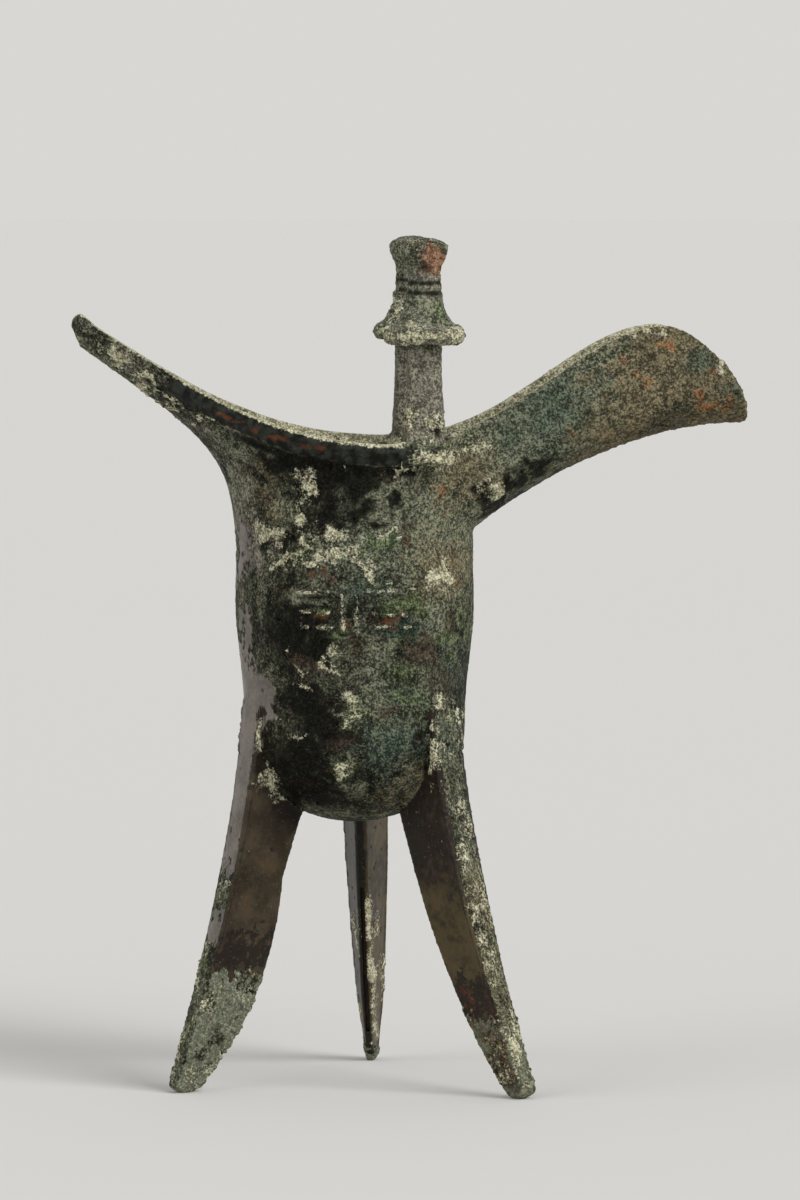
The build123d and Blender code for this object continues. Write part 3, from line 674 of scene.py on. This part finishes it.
def cream_crust_and_highlights(surface, thread):
    """Pale crust: patches on the belly, mouth, rim and caps, and flakes on the legs; and painted highlights
    on the upward-facing tops of rim, tail and spout, round the cap's brim, along the lip's top edge and on
    the thread tops.
    """
    z, cloud, drift, bloom = surface.z, surface.cloud, surface.drift, surface.bloom
    spout, tail, post, faces = surface.spout, surface.tail, surface.post, surface.faces
    left, right, rear = (surface.legs[name] for name in ("left", "right", "rear"))
    cream = patches(surface, CREAM_PATCHES) * surface.seen + surface.far_side * (0.05 + 0.7 * cloud)
    cream += surface.inside * surface.wall * (1.1 + 0.4 * drift) * soft(z, 142, 158)
    # Painted highlight: pale on the upward-facing tops of rim and tail, less on the spout
    cream += surface.edge * (1 - post) * (0.95 + 0.2 * tail - 0.6 * spout)
    # Painted highlight: the band round the cap's brim at 183.8 mm
    cream += surface.cap * (0.1 + 0.6 * bloom + 0.35 * np.exp(-(((z - 183.8) / 1.4) ** 2)))
    cream += surface.strip * (0.1 + 0.15 * right + 0.5 * cloud)
    cream += surface.crusted * (0.2 + 0.5 * drift + 0.5 * left * surface.inner_edge)
    cream += faces * (0.8 * surface.near_dome * soft(z, 64, 76) * soft(drift, -0.1, 0.3))
    cream += faces * rear * (0.15 + 0.6 * cloud) * soft(z, 12, 18) * soft(-z, -44, -36)
    flaked = rear * np.exp(-(((surface.aside + 1.3) / 0.8) ** 2)) * soft(z, 2, 7) * soft(-z, -48, -40)
    flaked_left = rear * np.exp(-(((surface.aside - 2.2) / 0.8) ** 2)) * soft(z, 4, 9) * soft(-z, -42, -34)
    cream += flaked * (0.75 + 0.9 * bloom) + flaked_left * (0.4 + 0.9 * cloud)
    # Painted highlights: on the thread tops, and a thin line along the lip's top edge
    cream += 0.75 * thread + 0.9 * surface.lip * soft(1.0 - surface.below_edge, 0, 0.5)
    return cream


def corrosion(surface):
    """Fields of the patina, painted shade and highlights among them, over the points, by name: 0 where there
    is none, about 1 where it is whole.
    """
    # Dark patches, some of them painted shadow
    dark_and_shadow_patches = patches(surface, DARK_PATCHES) * surface.seen
    thread, beside = relief_threads(surface)
    broken = patches(surface, BROKEN_CAP) * surface.near * soft(-surface.normals[:, 1], -0.1, 0.3)
    lilac = lilac_film_and_reflection(surface)
    covers = {**films_and_spout_highlight(surface, dark_and_shadow_patches), **red_and_rust(surface)}
    covers["dark"] = dark_metal_and_shade(surface, dark_and_shadow_patches, beside)
    covers["cream"] = cream_crust_and_highlights(surface, thread) - broken
    fields = {name: cover * (1 - LILAC_COVER * lilac) for name, cover in covers.items()}
    fields.update(leg_tints_and_shade(surface))
    fields.update(grit=surface.grit, slate=surface.lip, lilac=lilac, broken=broken, thread=thread)
    return fields


def relief_threads(surface):
    """Worn thread relief on the belly: the height of its ridges, whose tops get a painted highlight, and the
    low ground beside them, which gets painted shade.
    """
    nearest = np.full(len(surface.x), 50.0)
    for (x0, z0), (x1, z1) in THREADS:
        run_x, run_z = x1 - x0, z1 - z0
        along = ((surface.x - x0) * run_x + (surface.z - z0) * run_z) / (run_x**2 + run_z**2)
        along = np.clip(along, 0, 1)
        gap = np.hypot(surface.x - x0 - along * run_x, surface.z - z0 - along * run_z)
        nearest = np.minimum(nearest, gap)
    kept = surface.near * (1 - surface.inside) * soft(mottle(surface.points, 3.0, 2, 8), -0.5, 0.0)
    return kept * np.exp(-((nearest / 0.55) ** 2)), kept * np.exp(-(((nearest - 1.3) / 0.5) ** 2))


def corrode(skin):
    """Raise crust, grain, lip band and worn relief along the normals, and trim the rear toe and tail tip."""
    surface = Surface(skin.data)
    fields = corrosion(surface)
    grit, fine = surface.grit, surface.fine
    calm = (1 - 0.9 * fields["lilac"]) * (1 - 0.85 * fields["brown"]) * (1 - 0.8 * surface.lip)
    calm *= 1 - 0.9 * surface.rim
    lift = 0.12 * surface.broad
    creamy = CREAM_RISE * soft(fields["cream"] + 0.4 * grit, 0.4, 0.7)
    lift += creamy * (1 + 0.8 * fine) * (1 - 0.9 * surface.rim)
    grainy = 0.05 + 0.11 * fields["haze"] + 0.16 * np.clip(fields["tan"], 0, 1)
    lift += calm * (0.06 * grit + grainy * fine)
    lift += FOOT_CRUST_RISE * soft(fields["stone"], 0.35, 0.6) * (1 + 0.4 * fine + 0.4 * grit)
    lift -= calm * DARK_DEPTH * soft(fields["dark"] + 0.4 * grit, 0.5, 0.9)
    lift += LIP_RISE * surface.lip * soft(surface.below_edge, 0.2, 1.8) * soft(surface.outward, 0.2, 0.6)
    lift += THREAD_RISE * fields["thread"] - LIP_HOLLOW * surface.hollow_and_shade_under_lip
    for x, z, reach, rise in LUMPS:
        lift += rise * patches(surface, ((x, z, reach, reach),)) * surface.near
    lift -= BREAK_DEPTH * soft(fields["broken"] + 0.5 * grit, 0.35, 0.6)
    lift *= soft(surface.z, 0.0, 2.0) * 0.8 + 0.2
    moved = surface.points + surface.normals * lift[:, None]
    across = math.radians(LEG_ANGLES["rear"] + 90)
    pinch = TOE_PINCH * surface.legs["rear"] * soft(TOE_PINCH_Z - surface.z, 0, TOE_PINCH_Z) * surface.aside
    moved -= pinch[:, None] * np.array((math.cos(across), math.sin(across), 0))
    tip = np.exp(-(((surface.x - TAIL_TIP.x) / 3.0) ** 2)) * soft(surface.z, 181, 185)
    moved[:, 2] = np.maximum(moved[:, 2] + TAIL_TIP_RISE * tip, 0.0)
    flat = ((moved + np.array(AXIS)) * MM).astype(np.float32).ravel()
    skin.data.vertices.foreach_set("co", flat)
    skin.data.update()


# The fields that the materials read
PAINTED = (
    "grit", "haze", "stain", "tan", "teal", "green", "rose", "slate", "dark", "lilac",
    "brown", "umber", "olive", "stone", "soil", "red", "rust", "broken", "cream",
)


def paint(piece):
    """Keep the corrosion fields, painted shade and highlights among them, on the piece's points, for its
    material to read.
    """
    fields = corrosion(Surface(piece.data))
    for name in PAINTED:
        layer = piece.data.attributes.new(name, "FLOAT", "POINT")
        layer.data.foreach_set("value", fields[name].astype(np.float32))


# Materials

class Value:
    """An output socket of a node, with arithmetic that adds Math nodes."""

    def __init__(self, tree, socket):
        self.tree = tree
        self.socket = socket

    def math(self, operation, first, second):
        node = self.tree.nodes.new("ShaderNodeMath")
        node.operation = operation
        for socket, value in zip(node.inputs, (first, second)):
            fill(self.tree, socket, value)
        return Value(self.tree, node.outputs[0])

    def __add__(self, other):
        return self.math("ADD", self, other)

    def __radd__(self, other):
        return self.math("ADD", other, self)

    def __sub__(self, other):
        return self.math("SUBTRACT", self, other)

    def __rsub__(self, other):
        return self.math("SUBTRACT", other, self)

    def __mul__(self, other):
        return self.math("MULTIPLY", self, other)

    def __rmul__(self, other):
        return self.math("MULTIPLY", other, self)


def fill(tree, socket, value):
    """Link a value to a socket, or set the socket's number or colour."""
    if isinstance(value, Value):
        tree.links.new(value.socket, socket)
    else:
        socket.default_value = value


def srgb(red, green, blue):
    """A colour as seen on a screen, 0 to 255, as the renderer's linear colour."""
    linear = []
    for level in (red, green, blue):
        share = level / 255
        linear.append(share / 12.92 if share <= 0.04045 else ((share + 0.055) / 1.055) ** 2.4)
    return (*linear, 1.0)


class Nodes:
    """The nodes of a material or of the world."""

    def __init__(self, tree):
        self.tree = tree

    def node(self, kind, settings, sockets, output=0):
        """Any node: its type, its settings, the values or links of its sockets, and the output wanted."""
        made = self.tree.nodes.new(kind)
        for name, value in settings.items():
            setattr(made, name, value)
        for name, value in sockets.items():
            fill(self.tree, made.inputs[name], value)
        return Value(self.tree, made.outputs[output])


class Finish(Nodes):
    """A material under construction: tints are laid over each other, each with its own roughness."""

    def __init__(self, name, specular=0.35):
        self.material = bpy.data.materials.new(name)
        self.material.use_nodes = True
        super().__init__(self.material.node_tree)
        self.shader = self.tree.nodes["Principled BSDF"]
        self.shader.inputs["Specular IOR Level"].default_value = specular
        self.coords = self.node("ShaderNodeTexCoord", {}, {}, "Object")

    def noise(self, size, detail=3.0, roughness=0.55):
        """Cloudy noise from 0 to 1, of a size in millimetres."""
        sockets = {"Vector": self.coords, "Scale": 1 / (size * MM), "Detail": detail, "Roughness": roughness}
        return self.node("ShaderNodeTexNoise", {}, sockets)

    def field(self, name):
        """A field of corrosion and painted light that the piece carries on its points."""
        return self.node("ShaderNodeAttribute", {"attribute_name": name}, {}, "Fac")

    def step(self, value, low, high):
        """A smooth step from 0 at low to 1 at high."""
        sockets = {"Value": value, "From Min": low, "From Max": high}
        return self.node("ShaderNodeMapRange", {"interpolation_type": "SMOOTHSTEP"}, sockets)

    def mix(self, share, first, second):
        """A colour between two colours."""
        return self.node("ShaderNodeMix", {"data_type": "RGBA"}, {0: share, 6: first, 7: second}, 2)

    def ground(self, tint, roughness):
        """The lowest tint."""
        self.colour, self.roughness = tint, roughness

    def lay(self, share, tint, roughness):
        """Cover a share of the surface with another tint."""
        self.colour = self.mix(share, self.colour, tint)
        self.roughness = self.roughness + share * (roughness - self.roughness)

    def close(self, height, depth):
        """Connect the finished values to the shader."""
        bump = self.node("ShaderNodeBump", {}, {"Strength": 1.0, "Distance": depth * MM, "Height": height})
        for name, value in (("Base Color", self.colour), ("Roughness", self.roughness), ("Normal", bump)):
            fill(self.tree, self.shader.inputs[name], value)
        return self.material


def patina(name):
    """Corroded bronze: dark ground under grainy tints that fade into each other, among them painted shade
    and highlights, satin where it is worn.
    """
    coat = Finish(name, specular=0.06)
    lay, mix, step, field = coat.lay, coat.mix, coat.step, coat.field
    broad, medium = coat.noise(7.0, 4.0), coat.noise(2.4, 4.0)
    fine, speck = coat.noise(0.9, 3.0, 0.65), coat.noise(0.5, 2.0, 0.6)
    grain = fine * 0.45 + speck * 0.55
    light = step(grain * 0.8 + medium * 0.2, 0.43, 0.61)
    ragged = field("grit") * 0.3 + (grain - 0.5) * 1.1 + (medium - 0.5) * 0.8
    sandy = (grain - 0.5) * 2.2 + (medium - 0.5) * 0.5

    def cover(kind, low=0.3, high=0.9):
        return step(field(kind) + ragged, low, high)

    def film(kind):
        return step(field(kind) + ragged * 0.7, 0.05, 1.05)

    def grains(kind, low, high):
        return step(field(kind) + sandy, low, high)

    def tint(dull, bright):
        return mix(light, srgb(*dull), srgb(*bright))

    coat.ground(mix(step(medium, 0.4, 0.6), srgb(15, 17, 12), srgb(34, 36, 27)), 0.6 + 0.1 * fine)
    lay(step(broad, 0.45, 0.6) * 0.6, tint((24, 18, 13), (50, 40, 31)), 0.55)
    lay(step(grain, 0.52, 0.66) * 0.6, srgb(92, 95, 76), 0.75)
    haze, tan = film("haze"), film("tan")
    grey_green, sand = tint((60, 64, 50), (156, 159, 134)), tint((80, 72, 54), (160, 146, 114))
    lay(haze * 0.85, mix(tan * 0.8, grey_green, sand), 0.85)
    lay(film("teal") * 0.7, tint((34, 48, 40), (96, 111, 96)), 0.75)
    lay(film("green") * 0.65, tint((56, 68, 42), (136, 148, 104)), 0.75)
    lay(film("stain") * 0.8, tint((38, 29, 22), (80, 68, 54)), 0.6)
    lay(film("rose") * 0.75, tint((90, 86, 76), (164, 157, 142)), 0.8)
    slate = step(field("slate"), 0.3, 0.7)
    lay(slate * 0.9, mix(step(medium, 0.36, 0.64), srgb(13, 14, 11), srgb(46, 50, 43)), 0.5)
    # The dark field carries painted shade as well as dark metal
    dark = cover("dark")
    lay(dark * 0.93, tint((5, 5, 3), (27, 27, 20)), 0.55)

    brown = step(field("brown") + (fine - 0.5) * 0.4, 0.35, 0.65)
    hide = mix(step(broad, 0.36, 0.64), srgb(48, 40, 30), srgb(70, 60, 46))
    hide = mix(step(field("olive") + (medium - 0.5) * 1.2, 0.1, 0.9) * 0.8, hide, srgb(80, 69, 44))
    # Umber is partly painted shade, under the cup's bottom and on the rear leg's left face
    hide = mix(step(field("umber") + (medium - 0.5) * 1.6, 0.3, 1.0) * 0.85, hide, srgb(27, 21, 16))
    hide = mix(step(grain, 0.54, 0.7) * 0.4, hide, srgb(104, 98, 80))
    lay(brown * (1 - dark * 0.8), hide, 0.42)
    # The lilac-grey's light tone is partly a painted reflection of a side light
    lilac = step(field("lilac") + (fine - 0.5) * 0.5, 0.3, 0.7)
    cloudy = step(broad * 0.6 + fine * 0.4, 0.38, 0.62)
    lay(lilac, mix(cloudy, srgb(92, 87, 79), srgb(119, 112, 104)), 0.42)

    lay(cover("red", 0.35, 1.0) * 0.8, mix(medium, srgb(70, 38, 25), srgb(116, 68, 45)), 0.7)
    stone = step(field("stone") + (fine - 0.5) * 0.6, 0.3, 0.6)
    crust = mix(step(medium, 0.52, 0.64) * 0.65, tint((92, 94, 77), (144, 147, 127)), srgb(44, 44, 34))
    lay(stone * 0.92, crust, 0.85)
    lay(cover("soil") * 0.8, tint((38, 30, 21), (98, 84, 62)), 0.85)
    lay(grains("rust", 0.4, 0.95) * 0.75, tint((92, 62, 38), (170, 122, 82)), 0.85)
    fresh_break = step(field("broken") + sandy * 0.2, 0.35, 0.6)
    lay(fresh_break * 0.9, tint((124, 90, 68), (190, 150, 122)), 0.85)
    # The cream field carries painted highlights as well as pale crust
    cream = step(field("cream") + ragged * 0.6 + sandy * 0.5, 0.3, 0.82)
    lay(cream * 0.94, tint((118, 115, 90), (222, 218, 188)), 0.88)

    satin = coat.node("ShaderNodeMath", {"operation": "MAXIMUM"}, {0: brown, 1: lilac})
    satin = coat.node("ShaderNodeMath", {"operation": "MAXIMUM"}, {0: satin, 1: slate * 0.4}) * (1 - stone)
    fill(coat.tree, coat.shader.inputs["Coat Weight"], satin * 0.2)
    coat.shader.inputs["Coat Roughness"].default_value = 0.4
    relief = grain * (1 - 0.9 * satin) * (1 - 0.4 * stone) + 0.2 * cream + 0.15 * medium
    return coat.close(relief, depth=0.6)


# Heights in metres between which the clay turns from orange-brown to dark brown, going down
ORANGE_TO_DARK_HEIGHTS = (0.12, 0.08)


def fired_clay():
    """Crumbly clay left from the casting: orange-brown in the caps, turning dark brown lower down, in the
    leg slots.
    """
    coat = Finish("fired_clay")
    medium, fine = coat.noise(1.6, 4.0), coat.noise(0.4, 3.0, 0.65)
    height = coat.node("ShaderNodeSeparateXYZ", {}, {0: coat.coords}, "Z")
    baked = coat.mix(coat.step(medium, 0.38, 0.62), srgb(112, 66, 42), srgb(190, 128, 84))
    coat.ground(baked, 0.92 + 0.06 * fine)
    coat.lay(coat.step(fine, 0.55, 0.75), srgb(70, 46, 34), 0.95)
    coat.lay(coat.step(height, *ORANGE_TO_DARK_HEIGHTS), coat.mix(medium, srgb(38, 31, 25), srgb(66, 54, 42)), 0.95)
    return coat.close(fine, depth=0.25)


# The small pieces: caps, and the clay left in caps and legs

CRUMBLE_SIZE = 0.9
CRUMBLE_DEPTH = 0.3


def cap(side):
    """A post cap, remeshed, softened and corroded."""
    piece = copy_of(side + "_post_cap", side + "_post_cap_cast")
    finish_with(piece, "REMESH", mode="VOXEL", voxel_size=CAP_VOXEL * MM)
    finish_with(piece, "SMOOTH", factor=0.5, iterations=CAP_ROUNDS)
    corrode(piece)
    return piece


def clay(node):
    """A clay remnant with a crumbled surface."""
    piece = copy_of(node, node + "_lump")
    finish_with(piece, "REMESH", mode="VOXEL", voxel_size=CLAY_VOXEL * MM)
    finish_with(piece, "SMOOTH", factor=0.5, iterations=CLAY_ROUNDS)
    crumble = bpy.data.textures.new("crumble", "CLOUDS")
    crumble.noise_scale = CRUMBLE_SIZE * MM
    depth = CRUMBLE_DEPTH * MM
    finish_with(piece, "DISPLACE", texture=crumble, texture_coords="LOCAL", strength=depth, mid_level=0.7)
    return piece


def stand_for(piece, node, material):
    """Give a finished piece its material, and let it stand for its node."""
    pick(piece)
    bpy.ops.object.shade_smooth_by_angle(angle=math.radians(SHARP_ANGLE))
    piece.data.materials.clear()
    piece.data.materials.append(material)
    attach(piece, "root")
    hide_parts(node)


# The studio

# Floor radius in metres, sky, and lights by name, direction, strength and spread
FLOOR_RADIUS = 30.0
FLOOR_TONE = (216, 215, 212)
SKY_TINT = (1.0, 0.995, 0.985, 1.0)
SKY_STRENGTH = 0.52
SUNS = (
    ("key_light", (0.60, -0.52, 0.60), 1.9, 34.0),
    ("fill_light", (-0.80, -0.45, 0.40), 0.7, 50.0),
)

# The camera: its place from the cup's axis, how far it dips and turns in degrees, and its lens
CAMERA_PLACE = (-87.8, -1714.8, 223.0)
CAMERA_DIP = 3.48
CAMERA_TURN = -3.3
LENS_LENGTH = 140.96
SENSOR_HEIGHT = 24.0
CLIP_END = 60.0


def pale_floor():
    """A wide round floor of a single pale tone, faintly clouded."""
    bpy.ops.mesh.primitive_circle_add(vertices=96, radius=FLOOR_RADIUS, fill_type="TRIFAN")
    floor = bpy.context.view_layer.objects.active
    floor.name = "floor"
    coat = Finish("pale_floor", specular=0.2)
    cloud = coat.noise(900.0, 2.0)
    pale = coat.mix(cloud, srgb(*FLOOR_TONE), srgb(*(level + 1 for level in FLOOR_TONE)))
    coat.ground(pale, 0.8 + 0.1 * cloud)
    floor.data.materials.append(coat.close(cloud, depth=0.05))


def soft_sky():
    """Even light from all round, with a backdrop of the floor's own tone for the eye."""
    world = bpy.data.worlds.new("studio")
    world.use_nodes = True
    sky = Nodes(world.node_tree)
    light = sky.tree.nodes["Background"]
    light.inputs["Color"].default_value = SKY_TINT
    light.inputs["Strength"].default_value = SKY_STRENGTH
    backdrop = sky.node("ShaderNodeBackground", {}, {"Color": srgb(*FLOOR_TONE)})
    to_eye, to_gloss, to_glass = (
        sky.node("ShaderNodeLightPath", {}, {}, "Is " + kind + " Ray")
        for kind in ("Camera", "Glossy", "Transmission")
    )
    shares = {0: to_eye + to_gloss + to_glass, 1: Value(sky.tree, light.outputs[0]), 2: backdrop}
    both = sky.node("ShaderNodeMixShader", {}, shares)
    fill(sky.tree, sky.tree.nodes["World Output"].inputs["Surface"], both)
    bpy.context.scene.world = world


def studio():
    """The floor, the lights and the camera."""
    pale_floor()
    soft_sky()
    for name, toward, strength, spread in SUNS:
        light = bpy.data.lights.new(name, "SUN")
        light.energy = strength
        light.angle = math.radians(spread)
        lamp = bpy.data.objects.new(name, light)
        lamp.location = toward
        lamp.rotation_euler = Vector(toward).to_track_quat("Z", "Y").to_euler()
        bpy.context.scene.collection.objects.link(lamp)

    lens = bpy.data.cameras.new("camera")
    lens.sensor_fit = "VERTICAL"
    lens.sensor_height = SENSOR_HEIGHT
    lens.lens = LENS_LENGTH
    lens.clip_end = CLIP_END
    camera = bpy.data.objects.new("camera", lens)
    camera.location = (Vector(CAMERA_PLACE) + AXIS) * MM
    camera.rotation_euler = (math.radians(90 - CAMERA_DIP), 0, math.radians(CAMERA_TURN))
    bpy.context.scene.collection.objects.link(camera)
    bpy.context.scene.camera = camera
    bpy.context.scene.view_settings.view_transform = "Standard"


for leftover in ("Cube", "Light", "Camera"):
    if leftover in bpy.data.objects:
        bpy.data.objects.remove(bpy.data.objects[leftover])

finishes = {slot + "_bronze": patina(slot + "_patina") for slot in ("cup", "spout", "post", "leg")}
finishes["fired_clay"] = fired_clay()
slots = {entry["node"]: entry["material_slot"] for entry in frame["record"]["subparts"]}

skin = cast_skin()
corrode(skin)
pieces = part_the_skin(skin)
throw_away(skin)
cup_size = len(pieces["cup"].data.polygons) * 2
finish_with(pieces["cup"], "DECIMATE", ratio=CUP_TRIANGLES / cup_size)
for side in ("near", "far"):
    pieces[side + "_post_cap"] = cap(side)
for piece in pieces.values():
    paint(piece)
for node, slot_name in slots.items():
    if slot_name == "fired_clay":
        pieces[node] = clay(node)
for node, piece in pieces.items():
    stand_for(piece, node, finishes[slots[node]])
studio()
